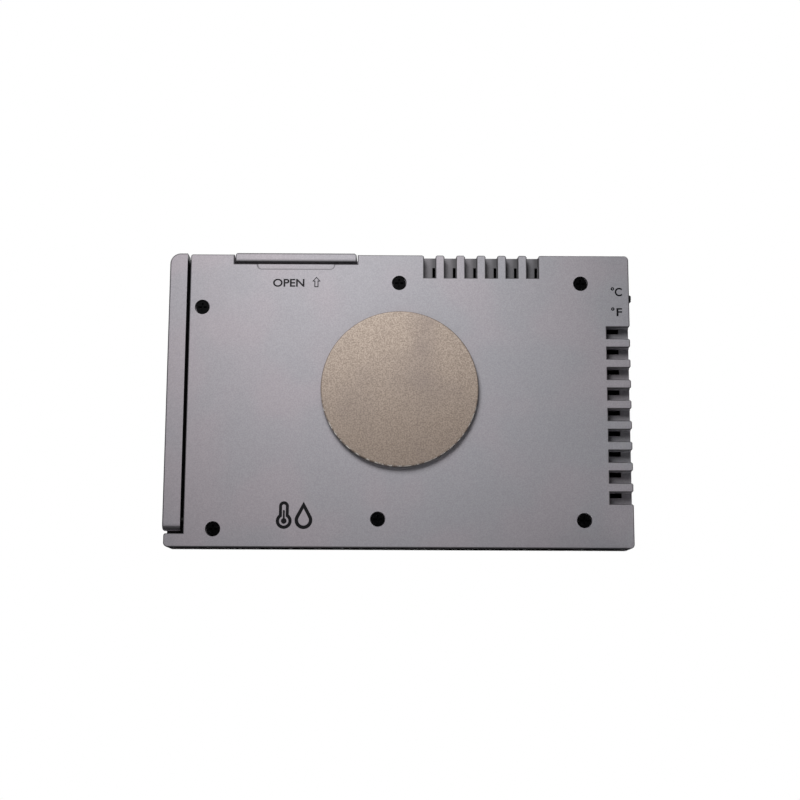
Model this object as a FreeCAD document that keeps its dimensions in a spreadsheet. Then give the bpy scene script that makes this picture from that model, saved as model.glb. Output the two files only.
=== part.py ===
"""Card-size room thermometer and hygrometer with a fold-out stand leg, a slide-out
coin-cell tray, a unit switch and a magnet disc. Millimetres.

Row frame: +Z up, the display faces -Y, the back faces +Y. The origin is the middle of
the bottom face, on which the case stands.
"""
import FreeCAD, Part
import os

import Sketcher

Vector = FreeCAD.Vector

document = FreeCAD.newDocument("RoomThermometer")
sheet = document.addObject("Spreadsheet::Sheet", "Sizes")


class Size:
    """A length in mm: its value, and its formula in the sheet's named cells."""

    def __init__(self, value, formula):
        self.value = value
        self.formula = formula

    def __add__(self, other):
        other = as_size(other)
        return Size(self.value + other.value, f"({self.formula} + {other.formula})")

    def __sub__(self, other):
        other = as_size(other)
        return Size(self.value - other.value, f"({self.formula} - {other.formula})")

    def __mul__(self, factor):
        return Size(self.value * factor, f"({self.formula} * {factor})")

    def __truediv__(self, factor):
        return Size(self.value / factor, f"({self.formula} / {factor})")

    def __neg__(self):
        return Size(-self.value, f"(0 - {self.formula})")

    def __radd__(self, other):
        return as_size(other) + self

    def __rsub__(self, other):
        return as_size(other) - self


def as_size(number):
    """Wraps a plain number, so that it can stand beside a Size."""
    return number if isinstance(number, Size) else Size(float(number), f"({number})")


def named(alias, value):
    """Writes one driving size on the sheet and returns it."""
    row = len([cell for cell in sheet.getUsedCells() if cell.startswith("B")]) + 1
    sheet.set(f"A{row}", alias)
    sheet.set(f"B{row}", str(value))
    sheet.setAlias(f"B{row}", alias)
    return Size(float(value), f"Sizes.{alias}")


# ---------------------------------------------------------------- driving sizes: the case
case_width = named("case_width", 86.0)
case_height = named("case_height", 55.0)
case_depth = named("case_depth", 7.6)
wall = named("wall", 1.6)
front_wall = named("front_wall", 1.4)
rear_rim = named("rear_rim", 1.85)
rear_skin = named("rear_skin", 1.2)
corner_round = named("corner_round", 0.8)
edge_round = named("edge_round", 0.25)
front_round = named("front_round", 0.6)
shelf_round = named("shelf_round", 0.4)
seam_chamfer = named("seam_chamfer", 0.12)
field_round = named("field_round", 1.0)
slide_gap = named("slide_gap", 0.2)

# ---------------------------------------------------------------- the vents
vent_width = named("vent_width", 2.18)
vent_length = named("vent_length", 4.36)
vent_pitch = named("vent_pitch", 3.87)
rib_round = named("rib_round", 0.4)
top_vent_start = named("top_vent_start", 4.5)
side_vent_start = named("side_vent_start", 8.16)
ledge_drop = named("ledge_drop", 0.5)
top_slit_width = named("top_slit_width", 0.55)
side_slit_width = named("side_slit_width", 0.9)
slit_length = named("slit_length", 2.5)
ledge_margin = named("ledge_margin", 0.7)

# ---------------------------------------------------------------- the stand leg
leg_width = named("leg_width", 3.3)
leg_depth = named("leg_depth", 4.0)
leg_proud = named("leg_proud", 0.3)
leg_gap = named("leg_gap", 0.6)
leg_top_proud = named("leg_top_proud", 0.2)
leg_floor_gap = named("leg_floor_gap", 0.3)
leg_round = named("leg_round", 0.35)
leg_tip_round = named("leg_tip_round", 2.0)
shelf_height = named("shelf_height", 2.47)
heel_gap = named("heel_gap", 0.53)
heel_clear = named("heel_clear", 0.2)
channel_wall = named("channel_wall", 1.2)
pin_radius = named("pin_radius", 0.6)
pin_clearance = named("pin_clearance", 0.05)
pin_boss_length = named("pin_boss_length", 3.0)
pin_in_leg = named("pin_in_leg", 2.1)

# ---------------------------------------------------------------- the battery tray and its cell
tray_centre = named("tray_centre", 19.6)
tray_width = named("tray_width", 22.0)
lip_width = named("lip_width", 22.8)
lip_height = named("lip_height", 1.7)
lip_proud = named("lip_proud", 0.3)
lip_gap = named("lip_gap", 0.4)
lip_round = named("lip_round", 0.5)
lip_front_reach = named("lip_front_reach", 0.2)
notch_width = named("notch_width", 14.5)
notch_height = named("notch_height", 1.0)
notch_depth = named("notch_depth", 0.4)
notch_round = named("notch_round", 0.8)
cell_radius = named("cell_radius", 10.0)
cell_thickness = named("cell_thickness", 2.5)
cell_clearance = named("cell_clearance", 0.15)
cell_rim = named("cell_rim", 0.95)
cell_cap_inset = named("cell_cap_inset", 1.6)
cell_sheet = named("cell_sheet", 0.25)
tray_foot = named("tray_foot", 2.3)
tray_head = named("tray_head", 0.85)
tray_corner = named("tray_corner", 1.5)
guide_gap = named("guide_gap", 0.3)
guide_rib = named("guide_rib", 0.8)
contact_sheet = named("contact_sheet", 0.15)
contact_width = named("contact_width", 2.4)
contact_gap = named("contact_gap", 0.1)
contact_pad = named("contact_pad", 2.88)
contact_lift = named("contact_lift", 0.075)
cell_lift = named("cell_lift", 0.05)
positive_offset = named("positive_offset", 6.0)

# ---------------------------------------------------------------- the unit switch
switch_drop = named("switch_drop", 8.7)
switch_travel = named("switch_travel", 2.0)
knob_height = named("knob_height", 1.3)
knob_proud = named("knob_proud", 0.75)
knob_gap = named("knob_gap", 0.2)
knob_round = named("knob_round", 0.3)
knob_foot = named("knob_foot", 0.8)
switch_length = named("switch_length", 6.7)
switch_width = named("switch_width", 2.6)
switch_room = named("switch_room", 0.35)
switch_shell = named("switch_shell", 0.2)

# ---------------------------------------------------------------- the display stack
lcd_side_room = named("lcd_side_room", 11.0)
lcd_top_drop = named("lcd_top_drop", 9.5)
lcd_bottom = named("lcd_bottom", 9.5)
lcd_room = named("lcd_room", 1.8)
lcd_slack = named("lcd_slack", 0.05)
polariser_sheet = named("polariser_sheet", 0.15)
glass_sheet = named("glass_sheet", 0.5)
seal_sheet = named("seal_sheet", 0.1)
seal_width = named("seal_width", 1.0)
reflector_sheet = named("reflector_sheet", 0.2)
glass_ledge = named("glass_ledge", 2.4)
holder_rim = named("holder_rim", 2.0)
holder_gap = named("holder_gap", 0.1)
connector_width = named("connector_width", 1.5)
connector_inset = named("connector_inset", 1.8)
view_side_inset = named("view_side_inset", 2.0)
view_end_inset = named("view_end_inset", 2.2)
window_border = named("window_border", 4.0)
window_sheet = named("window_sheet", 0.7)
tape_sheet = named("tape_sheet", 0.1)
window_gap = named("window_gap", 0.1)
tape_inset = named("tape_inset", 0.4)

# ---------------------------------------------------------------- board and fasteners
board_sheet = named("board_sheet", 0.8)
board_gap = named("board_gap", 0.3)
board_top_drop = named("board_top_drop", 5.8)
boss_radius = named("boss_radius", 1.8)
boss_clearance = named("boss_clearance", 0.3)
screw_radius = named("screw_radius", 0.7)
screw_length = named("screw_length", 4.2)
head_radius = named("head_radius", 1.22)
head_height = named("head_height", 0.7)
head_sunk = named("head_sunk", 0.3)
screw_hole = named("screw_hole", 1.4)
screw_clearance = named("screw_clearance", 0.1)
drive_length = named("drive_length", 1.6)
drive_width = named("drive_width", 0.34)
drive_depth = named("drive_depth", 0.4)
board_screw_radius = named("board_screw_radius", 0.6)
board_screw_length = named("board_screw_length", 2.4)
board_head_radius = named("board_head_radius", 1.15)
board_head_height = named("board_head_height", 0.6)
post_radius = named("post_radius", 1.5)
post_gap = named("post_gap", 0.4)

# ---------------------------------------------------------------- the magnet
disc_radius = named("disc_radius", 14.6)
disc_sheet = named("disc_sheet", 1.1)
disc_round = named("disc_round", 0.25)
disc_height = named("disc_height", 29.3)
adhesive_sheet = named("adhesive_sheet", 0.15)
adhesive_inset = named("adhesive_inset", 0.4)

# ---------------------------------------------------------------- levels worked out from them
right = case_width / 2
left = -right
front = -case_depth / 2
back = case_depth / 2
seam = back - rear_rim
skin = back - rear_skin
floor = front + front_wall
ledge = seam - ledge_drop
top_inside = case_height - wall
left_inside = left + wall

channel = right + leg_proud - leg_width - leg_gap
leg_inner = channel + leg_gap
leg_outer = right + leg_proud
leg_front = back - leg_depth
leg_bottom = shelf_height + heel_gap
leg_top = case_height + leg_top_proud
channel_floor = leg_front - leg_floor_gap
pin_level = back - leg_depth / 2
pin_height = leg_bottom + leg_depth / 2
# The heel's back corner is rounded enough to turn past the shelf with heel_clear to spare.
heel_round = leg_depth / 2 - (heel_gap - heel_clear) * (1 + 2 ** 0.5)
right_inside = channel - channel_wall

board_front = floor + lcd_room
board_back = board_front + board_sheet
board_top = case_height - board_top_drop

tray_front = board_front + slide_gap
tray_back = skin - slide_gap
cell_front = tray_back - cell_thickness
lip_bottom = case_height + lip_proud - lip_height
cell_height = lip_bottom - tray_head - cell_radius - cell_clearance
tray_bottom = cell_height - cell_radius - cell_clearance - tray_foot
bay_bottom = lip_bottom - lip_gap
tray_left = tray_centre - tray_width / 2
tray_right = tray_centre + tray_width / 2
guide_left = tray_left - guide_gap
guide_right = tray_right + guide_gap

cell_cap_radius = cell_radius - cell_cap_inset

switch_height = case_height - switch_drop
switch_body = seam - board_back - switch_room
knob_depth = switch_body - switch_shell * 2
knob_level = board_back + switch_body / 2
knob_start = switch_height + switch_travel / 2

lcd_width = case_width - lcd_side_room * 2
lcd_height = case_height - lcd_bottom - lcd_top_drop
view_width = lcd_width - view_side_inset * 2
view_height = lcd_height - view_end_inset * 2
view_centre = lcd_bottom + lcd_height / 2

# Case screws: three along the top and three along the bottom, as (across, height).
CASE_SCREWS = [
    (right - named("screw_a_inset", 6.0), case_height - named("screw_a_drop", 10.2)),
    (named("screw_b_across", 0.15), case_height - named("screw_b_drop", 5.4)),
    (left + named("screw_c_inset", 9.1), case_height - named("screw_c_drop", 5.4)),
    (right - named("screw_d_inset", 9.0), named("screw_d_rise", 3.3)),
    (named("screw_e_across", 3.9), named("screw_e_rise", 5.2)),
    (left + named("screw_f_inset", 9.1), named("screw_f_rise", 5.1)),
]
# As many vents as fit: along the top up to screw c, and up the side to the switch.
top_vent_room = -CASE_SCREWS[2][0] - boss_radius - wall - ledge_margin - vent_width - top_vent_start
side_vent_room = (switch_height - switch_length / 2 - board_gap - ledge_margin - vent_width
                  - side_vent_start)
TOP_VENTS = int(top_vent_room.value / vent_pitch.value) + 1
SIDE_VENTS = int(side_vent_room.value / vent_pitch.value) + 1

# Board screws stand beside the display holder.
holder_edge = lcd_width / 2 + holder_rim + holder_gap
post_across = holder_edge + post_radius + post_gap
BOARD_SCREWS = [
    (-post_across, named("post_low", 20.0)),
    (-post_across, case_height - named("post_high_drop", 12.2)),
    (post_across, named("post_left", 20.0)),
]


# ================================================================ how pieces are drawn
PLANES = {"X": ("YZ_Plane", 1), "Y": ("XZ_Plane", -1), "Z": ("XY_Plane", 1)}
PIECES = {}


def bind(thing, path, length):
    """Ties one property of an object to a formula on the sheet."""
    thing.setExpression(path, as_size(length).formula)


def keep(thing, label):
    """Names a finished sub-part, which becomes one exported node."""
    thing.Label = label
    PIECES[label] = thing
    return thing


def new_body(label):
    """Starts a sub-part that is built up from sketches."""
    return keep(document.addObject("PartDesign::Body", label + "_body"), label)


def rectangle(x_low, y_low, x_high, y_high):
    """The four corners of a rectangle."""
    return [(x_low, y_low), (x_high, y_low), (x_high, y_high), (x_low, y_high)]


def pin_point(sketch, shape, corner, place):
    """Holds a point of a sketch at a place worked out from the sheet."""
    for rule, length in zip(("DistanceX", "DistanceY"), place):
        length = as_size(length)
        index = sketch.addConstraint(Sketcher.Constraint(rule, -1, 1, shape, corner, length.value))
        sketch.setExpression(f"Constraints[{index}]", length.formula)


def draw_loop(sketch, loop):
    """Draws a closed outline of straight sides through a list of corners."""
    first = sketch.GeometryCount
    count = len(loop)
    spots = [Vector(as_size(x).value, as_size(y).value, 0) for x, y in loop]
    for index in range(count):
        sketch.addGeometry(Part.LineSegment(spots[index], spots[(index + 1) % count]), False)
    for index in range(count):
        following = first + (index + 1) % count
        sketch.addConstraint(Sketcher.Constraint("Coincident", first + index, 2, following, 1))
        pin_point(sketch, first + index, 1, loop[index])


def draw_circle(sketch, across, height, radius):
    """Draws a circle at a place, with a radius."""
    index = sketch.GeometryCount
    across, height, radius = as_size(across), as_size(height), as_size(radius)
    centre = Vector(across.value, height.value, 0)
    sketch.addGeometry(Part.Circle(centre, Vector(0, 0, 1), radius.value), False)
    pin_point(sketch, index, 3, (across, height))
    rule = sketch.addConstraint(Sketcher.Constraint("Radius", index, radius.value))
    sketch.setExpression(f"Constraints[{rule}]", radius.formula)


def draw(body, axis, level, loops, circles):
    """A sketch across one axis at a level, on the body's own plane."""
    role, sign = PLANES[axis]
    plane = [item for item in body.Origin.OriginFeatures if item.Role == role][0]
    sketch = body.newObject("Sketcher::SketchObject", body.Label + "_sketch")
    sketch.AttachmentSupport = (plane, [""])
    sketch.MapMode = "FlatFace"
    bind(sketch, "AttachmentOffset.Base.z", as_size(level) * sign)
    for loop in loops:
        draw_loop(sketch, loop)
    for circle in circles:
        draw_circle(sketch, *circle)
    return sketch


def add(body, axis, low, high, loops=(), circles=()):
    """Pads outlines between two levels of an axis."""
    start = low if PLANES[axis][1] > 0 else high
    feature = body.newObject("PartDesign::Pad", body.Label + "_pad")
    feature.Profile = draw(body, axis, start, loops, circles)
    bind(feature, "Length", as_size(high) - low)
    document.recompute()
    return feature


def cut(body, axis, low, high, loops=(), circles=()):
    """Pockets outlines between two levels of an axis, and makes sure that some solid went."""
    before = body.Shape.Volume
    start = high if PLANES[axis][1] > 0 else low
    sketch = draw(body, axis, start, loops, circles)
    feature = body.newObject("PartDesign::Pocket", body.Label + "_pocket")
    feature.Profile = sketch
    bind(feature, "Length", as_size(high) - low)
    document.recompute()
    if not body.Shape.Volume < before:
        raise RuntimeError(f"{body.Label}: a pocket from {start.value} cuts nothing")
    return feature


def same(first, second):
    """Whether two numbers are equal to within a micron or so."""
    return abs(first - second) < 0.002


def edges_along(body, axis, places):
    """The edges parallel to an axis that stand at the given pair of other coordinates."""
    others = [name for name in "xyz" if name != axis.lower()]
    found = []
    for number, edge in enumerate(body.Shape.Edges, 1):
        if edge.Degenerated or edge.Curve.TypeId != "Part::GeomLine":
            continue
        if not same(abs(getattr(edge.Curve.Direction, axis.lower())), 1):
            continue
        middle = edge.CenterOfMass
        spot = [getattr(middle, name) for name in others]
        if any(same(spot[0], as_size(a).value) and same(spot[1], as_size(b).value) for a, b in places):
            found.append(f"Edge{number}")
    return found


def edges_at(body, axis, level):
    """The edges of the faces that lie square across an axis at a level."""
    level = as_size(level).value
    flat = [face for face in body.Shape.Faces if face_level(face, axis) is not None]
    wanted = [edge for face in flat if same(face_level(face, axis), level) for edge in face.Edges]
    return [
        f"Edge{number}"
        for number, edge in enumerate(body.Shape.Edges, 1)
        if any(edge.isSame(other) for other in wanted)
    ]


def face_level(face, axis):
    """Where a flat face lies along an axis, or None where it isn't square to the axis."""
    box = face.BoundBox
    low = getattr(box, axis + "Min")
    high = getattr(box, axis + "Max")
    return low if same(low, high) else None


def soften(body, kind, size, edges):
    """Rounds or chamfers the named edges of a body's last feature."""
    base = body.Tip
    feature = body.newObject("PartDesign::" + kind, body.Label + "_" + kind.lower())
    feature.Base = (base, edges)
    bind(feature, "Radius" if kind == "Fillet" else "Size", size)
    document.recompute()
    return feature


def block(label, x_span, y_span, z_span):
    """A plain box between two places on each axis."""
    box = document.addObject("Part::Box", label + "_box")
    spans = (("x", "Length", x_span), ("y", "Width", y_span), ("z", "Height", z_span))
    for name, side, (low, high) in spans:
        bind(box, "Placement.Base." + name, low)
        bind(box, side, as_size(high) - low)
    return box


TURNS = {
    "X": FreeCAD.Rotation(Vector(0, 1, 0), 90),
    "Y": FreeCAD.Rotation(Vector(1, 0, 0), -90),
    "Z": FreeCAD.Rotation(),
}


def rod(label, axis, start, length, radius):
    """A round bar that runs from a point along the positive direction of an axis."""
    bar = document.addObject("Part::Cylinder", label + "_rod")
    bar.Placement = FreeCAD.Placement(Vector(), TURNS[axis])
    for name, place in zip("xyz", start):
        bind(bar, "Placement.Base." + name, place)
    bind(bar, "Height", length)
    bind(bar, "Radius", radius)
    return bar


def join(label, shapes):
    """Fuses several shapes into one solid."""
    fused = document.addObject("Part::MultiFuse", label + "_join")
    fused.Shapes = shapes
    return fused


def take_away(label, base, tool):
    """Cuts one shape out of another."""
    result = document.addObject("Part::Cut", label + "_cut")
    result.Base = base
    result.Tool = tool
    return result


def group(label, shapes):
    """Keeps several like solids together in one node."""
    bunch = document.addObject("Part::Compound", label + "_group")
    bunch.Links = shapes
    return keep(bunch, label)


# ================================================================ the case
def slots(cut_past):
    """The outlines of all vent slots, each open past the edge of the case."""
    loops = []
    for index in range(TOP_VENTS):
        start = -(top_vent_start + vent_pitch * index)
        loops.append(rectangle(start - vent_width, case_height - vent_length, start, case_height + cut_past))
    for index in range(SIDE_VENTS):
        start = side_vent_start + vent_pitch * index
        loops.append(rectangle(left - cut_past, start, left + vent_length, start + vent_width))
    return loops


def slits():
    """Narrow ways through the ledge, one under each vent slot, that open into the case."""
    loops = []
    low = case_height - vent_length - ledge_margin
    for index in range(TOP_VENTS):
        far = -(top_vent_start + vent_pitch * index + vent_width)
        loops.append(rectangle(far, low, far + top_slit_width, low + ledge_margin + slit_length))
    inner = left + vent_length + ledge_margin
    for index in range(SIDE_VENTS):
        high = side_vent_start + vent_pitch * index + vent_width
        loops.append(rectangle(inner - ledge_margin - slit_length, high - side_slit_width, inner, high))
    return loops


def rib_corners():
    """Where the ribs between the slots end at the case's edge: their outer corners."""
    corners = []
    for index in range(TOP_VENTS):
        start = -(top_vent_start + vent_pitch * index)
        corners += [(start, case_height), (start - vent_width, case_height)]
    for index in range(SIDE_VENTS):
        start = side_vent_start + vent_pitch * index
        corners += [(left, start), (left, start + vent_width)]
    return corners


def front_cover():
    """The tub that carries everything: front wall, side walls, screw bosses and the leg's channel."""
    body = new_body("front_cover")
    add(body, "Y", front, seam, [rectangle(left, 0, right, case_height)])
    corners = [(left, 0), (right, 0), (left, case_height), (right, case_height)]
    soften(body, "Fillet", corner_round, edges_along(body, "Y", corners))
    soften(body, "Fillet", front_round, edges_at(body, "Y", front))
    soften(body, "Chamfer", seam_chamfer, edges_at(body, "Y", seam))
    past = corner_round
    cut(body, "Y", channel_floor, seam, [rectangle(channel, shelf_height, leg_outer + past, leg_top + past)])

    # The inside, with a low ledge left standing under the vents, slit for the air.
    ledge_x = left + vent_length + ledge_margin
    ledge_z = case_height - vent_length - ledge_margin
    vent_left = -(top_vent_start + vent_pitch * (TOP_VENTS - 1) + vent_width + ledge_margin)
    vent_right = ledge_margin - top_vent_start
    vent_low = side_vent_start - ledge_margin
    vent_high = side_vent_start + vent_pitch * (SIDE_VENTS - 1) + vent_width + ledge_margin
    hollow = [
        (left_inside, wall), (right_inside, wall), (right_inside, top_inside),
        (vent_right, top_inside), (vent_right, ledge_z), (vent_left, ledge_z), (vent_left, top_inside),
        (left_inside, top_inside), (left_inside, vent_high), (ledge_x, vent_high),
        (ledge_x, vent_low), (left_inside, vent_low),
    ]
    cut(body, "Y", floor, seam, [hollow])
    cut(body, "Y", ledge, seam, [
        rectangle(vent_left, ledge_z, vent_right, top_inside),
        rectangle(left_inside, vent_low, ledge_x, vent_high),
    ])
    cut(body, "Y", ledge, seam, slots(past))
    cut(body, "Y", floor, ledge, slits())

    # Bosses for the case screws, posts for the board and the hinge pin's bearing.
    add(body, "Y", floor, seam, circles=[(x, z, boss_radius) for x, z in CASE_SCREWS])
    add(body, "Y", floor, board_front, circles=[(x, z, post_radius) for x, z in BOARD_SCREWS])
    bearing = [channel - pin_boss_length, wall, channel, pin_height + pin_radius + channel_wall]
    add(body, "Y", floor, seam, [rectangle(*bearing)])
    screw_tip = back - head_sunk - head_height - screw_length
    cut(body, "Y", screw_tip, seam, circles=[(x, z, screw_radius) for x, z in CASE_SCREWS])
    board_tip = board_back - board_screw_length
    cut(body, "Y", board_tip, board_front, circles=[(x, z, board_screw_radius) for x, z in BOARD_SCREWS])
    cut(body, "X", channel - pin_boss_length, channel, circles=[(pin_level, pin_height, pin_radius)])

    # The display opening, with a step that the window is taped into.
    cut(body, "Y", front, floor, [view_outline()])
    step = window_outline(window_gap)
    cut(body, "Y", front, front + window_sheet + tape_sheet, [step])
    soften(body, "Fillet", field_round, edges_along(body, "Y", step))

    # The battery bay's mouth in the top wall and the switch's notch in the side wall.
    lip_side = lip_width / 2 + slide_gap
    mouth = rectangle(tray_centre - lip_side, top_inside - past, tray_centre + lip_side, case_height + past)
    cut(body, "Y", board_front - lip_front_reach, seam, [mouth])
    reach = knob_height / 2 + switch_travel / 2 + knob_gap
    slot = rectangle(left - past, switch_height - reach, left_inside + slide_gap, switch_height + reach)
    cut(body, "Y", knob_level - knob_depth / 2 - knob_gap, seam, [slot])


def view_outline():
    """The part of the display that is seen, which is the opening in the front wall."""
    half = view_height / 2
    return rectangle(-view_width / 2, view_centre - half, view_width / 2, view_centre + half)


def window_outline(margin):
    """The window's outline, grown by a margin on every side."""
    across = view_width / 2 + window_border + margin
    height = view_height / 2 + window_border + margin
    return rectangle(-across, view_centre - height, across, view_centre + height)


def rear_cover():
    """The back plate: rim and skin, vents, the screws' counterbores and the tray's guide ribs."""
    body = new_body("rear_cover")
    outline = [
        (left, 0), (right, 0), (right, shelf_height), (channel, shelf_height),
        (channel, case_height), (left, case_height),
    ]
    add(body, "Y", seam, back, [outline])
    soften(body, "Fillet", corner_round, edges_along(body, "Y", [(left, 0), (right, 0), (left, case_height)]))
    small = [(right, shelf_height), (channel, case_height)]
    soften(body, "Fillet", shelf_round, edges_along(body, "Y", small))
    past = corner_round
    cut(body, "Y", seam, back, slots(past))
    soften(body, "Fillet", rib_round, edges_along(body, "Y", rib_corners()))
    lip_side = lip_width / 2 + slide_gap
    mouth = rectangle(tray_centre - lip_side, bay_bottom, tray_centre + lip_side, case_height + past)
    cut(body, "Y", seam, back, [mouth])
    soften(body, "Fillet", edge_round, edges_at(body, "Y", back))
    soften(body, "Chamfer", seam_chamfer, edges_at(body, "Y", seam))

    # A shallow thumb notch below the tray's lip.
    notch = rectangle(
        tray_centre - notch_width / 2, bay_bottom - notch_height,
        tray_centre + notch_width / 2, bay_bottom + past,
    )
    cut(body, "Y", back - notch_depth, back, [notch])
    soften(body, "Fillet", notch_round, edges_along(body, "Y", notch[:2]))

    # Counterbored screw holes.
    seat = back - head_sunk - head_height
    cut(body, "Y", seat, back, circles=[(x, z, screw_hole) for x, z in CASE_SCREWS])
    clear = screw_radius + screw_clearance
    cut(body, "Y", seam, seat, circles=[(x, z, clear) for x, z in CASE_SCREWS])

    # The thin field inside the rim, the tray's channel and the ribs that guide the tray.
    reach = head_radius + boss_clearance + boss_radius
    field_top = case_height - vent_length - wall - slide_gap - wall
    field = rectangle(
        left + vent_length + wall, wall + reach * 2 - slide_gap,
        CASE_SCREWS[0][0] - boss_radius - wall / 2, field_top,
    )
    cut(body, "Y", seam, skin, [field])
    soften(body, "Fillet", field_round, edges_along(body, "Y", field))
    cut(body, "Y", seam, skin, [rectangle(guide_left, field_top - wall, guide_right, bay_bottom + past)])
    rib_low = tray_bottom + guide_rib
    rib_high = top_inside - guide_rib
    add(body, "Y", tray_front, skin, [
        rectangle(guide_left - guide_rib, rib_low, guide_left, rib_high),
        rectangle(guide_right, rib_low, guide_right + guide_rib, rib_high),
    ])
    cut(body, "X", channel - pin_boss_length, channel, circles=[(pin_level, pin_height, pin_radius)])


def cross_screw(label, across, height, top, length, shank, head, thickness, drive):
    """A pan-head screw with a cross recess; its head's top faces +Y at the level top."""
    seat = top - thickness
    parts = [
        rod(label + "_head", "Y", (across, seat, height), thickness, head),
        rod(label + "_shank", "Y", (across, seat - length, height), length, shank),
    ]
    bottom = top - drive_depth
    half = drive / 2
    thin = drive_width / 2
    cross = [
        block(label + "_slot_a", (across - half, across + half), (bottom, top),
              (height - thin, height + thin)),
        block(label + "_slot_b", (across - thin, across + thin), (bottom, top),
              (height - half, height + half)),
    ]
    return take_away(label, join(label, parts), join(label + "_cross", cross))


def fasteners():
    """Six long screws close the case, and three short ones hold the board."""
    long_screws = [
        cross_screw(f"case_screw_{n}", x, z, back - head_sunk, screw_length, screw_radius,
                    head_radius, head_height, drive_length)
        for n, (x, z) in enumerate(CASE_SCREWS)
    ]
    group("case_screws", long_screws)
    short_screws = [
        cross_screw(f"board_screw_{n}", x, z, board_back + board_head_height, board_screw_length,
                    board_screw_radius, board_head_radius, board_head_height, drive_length)
        for n, (x, z) in enumerate(BOARD_SCREWS)
    ]
    group("board_screws", short_screws)


# ================================================================ stand leg and magnet
def stand():
    """The prop leg, rounded at the heel to turn about its pin, and the steel pin it turns on."""
    body = new_body("stand_leg")
    add(body, "X", leg_inner, leg_outer, [rectangle(leg_front, pin_height, back, leg_top)])
    tip = [(leg_outer, leg_top)]
    soften(body, "Fillet", leg_tip_round, edges_along(body, "Y", tip))
    add(body, "X", leg_inner, leg_outer, circles=[(pin_level, pin_height, leg_depth / 2)])
    add(body, "X", leg_inner, leg_outer, [rectangle(pin_level, leg_bottom, back, pin_height)])
    soften(body, "Fillet", heel_round, edges_along(body, "X", [(back, leg_bottom)]))
    soften(body, "Fillet", leg_round, edges_at(body, "X", leg_outer))
    cut(body, "X", leg_inner, leg_inner + pin_in_leg + slide_gap,
        circles=[(pin_level, pin_height, pin_radius + pin_clearance)])
    pin_start = channel - pin_boss_length
    pin_length = leg_inner + pin_in_leg - pin_start
    keep(rod("pin", "X", (pin_start, pin_level, pin_height), pin_length, pin_radius), "stand_hinge_pin")


def magnet():
    """A plated magnet disc held on the back by a round of double-sided tape."""
    keep(rod("tape", "Y", (0, back, disc_height), adhesive_sheet, disc_radius - adhesive_inset),
         "magnet_adhesive")
    body = new_body("magnet_disc")
    low = back + adhesive_sheet
    add(body, "Y", low, low + disc_sheet, circles=[(0, disc_height, disc_radius)])
    soften(body, "Fillet", disc_round, edges_at(body, "Y", low + disc_sheet))


# ================================================================ battery tray, cell and contacts
def battery_tray():
    """The sliding tray: a ring for the cell, a thin retaining rim and a lip that closes the bay."""
    body = new_body("battery_tray")
    add(body, "Y", tray_front, tray_back, [rectangle(tray_left, tray_bottom, tray_right, lip_bottom)])
    foot = [(tray_left, tray_bottom), (tray_right, tray_bottom)]
    soften(body, "Fillet", tray_corner, edges_along(body, "Y", foot))
    lip_low = tray_centre - lip_width / 2
    lip_high = tray_centre + lip_width / 2
    lip_top = lip_bottom + lip_height
    lip_front = board_front
    add(body, "Y", lip_front, back, [rectangle(lip_low, lip_bottom, lip_high, lip_top)])
    shoulders = [(lip_low, lip_top), (lip_high, lip_top)]
    soften(body, "Fillet", lip_round, edges_along(body, "Y", shoulders))
    soften(body, "Fillet", edge_round, edges_at(body, "Y", back))
    pocket_radius = cell_radius + cell_clearance
    rim = cell_front - cell_lift
    cut(body, "Y", rim, tray_back, circles=[(tray_centre, cell_height, pocket_radius)])
    cut(body, "Y", tray_front, rim, circles=[(tray_centre, cell_height, pocket_radius - cell_rim)])

    # Ways through the foot for the two contacts, which stay behind when the tray comes out.
    way = contact_width / 2 + guide_gap
    below = tray_bottom - slide_gap
    cut(body, "Y", tray_front, rim, [rectangle(tray_centre - way, below, tray_centre + way, cell_height)])
    finger = tray_centre + positive_offset
    finger_room = cell_height - cell_radius / 2
    cut(body, "Y", rim, tray_back, [rectangle(finger - way, below, finger + way, finger_room)])


def ring(label, radius, inner, low, high, hollow_low, hollow_high):
    """A round wall about the cell's axis, hollow between two levels."""
    body = new_body(label)
    add(body, "Y", low, high, circles=[(tray_centre, cell_height, radius)])
    cut(body, "Y", hollow_low, hollow_high, circles=[(tray_centre, cell_height, inner)])
    return body


def coin_cell():
    """A 20 mm lithium cell: the can is positive and faces back, the cap is negative."""
    cell_back = cell_front + cell_thickness
    rim_level = cell_front + cell_sheet
    inner_back = cell_back - cell_sheet * 2
    can = ring("coin_cell_can", cell_radius, cell_radius - cell_sheet, rim_level, cell_back,
               rim_level, cell_back - cell_sheet)
    soften(can, "Fillet", cell_sheet / 2, edges_at(can, "Y", cell_back))
    ring("coin_cell_gasket", cell_radius - cell_sheet, cell_cap_radius, rim_level, inner_back,
         rim_level, inner_back)
    cap = ring("coin_cell_cap", cell_cap_radius, cell_cap_radius - cell_sheet, cell_front, inner_back,
               rim_level, inner_back)
    soften(cap, "Fillet", cell_sheet / 2, edges_at(cap, "Y", cell_front))
    keep(rod("core", "Y", (tray_centre, rim_level, cell_height), inner_back - rim_level,
             cell_cap_radius - cell_sheet), "coin_cell_core")


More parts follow.
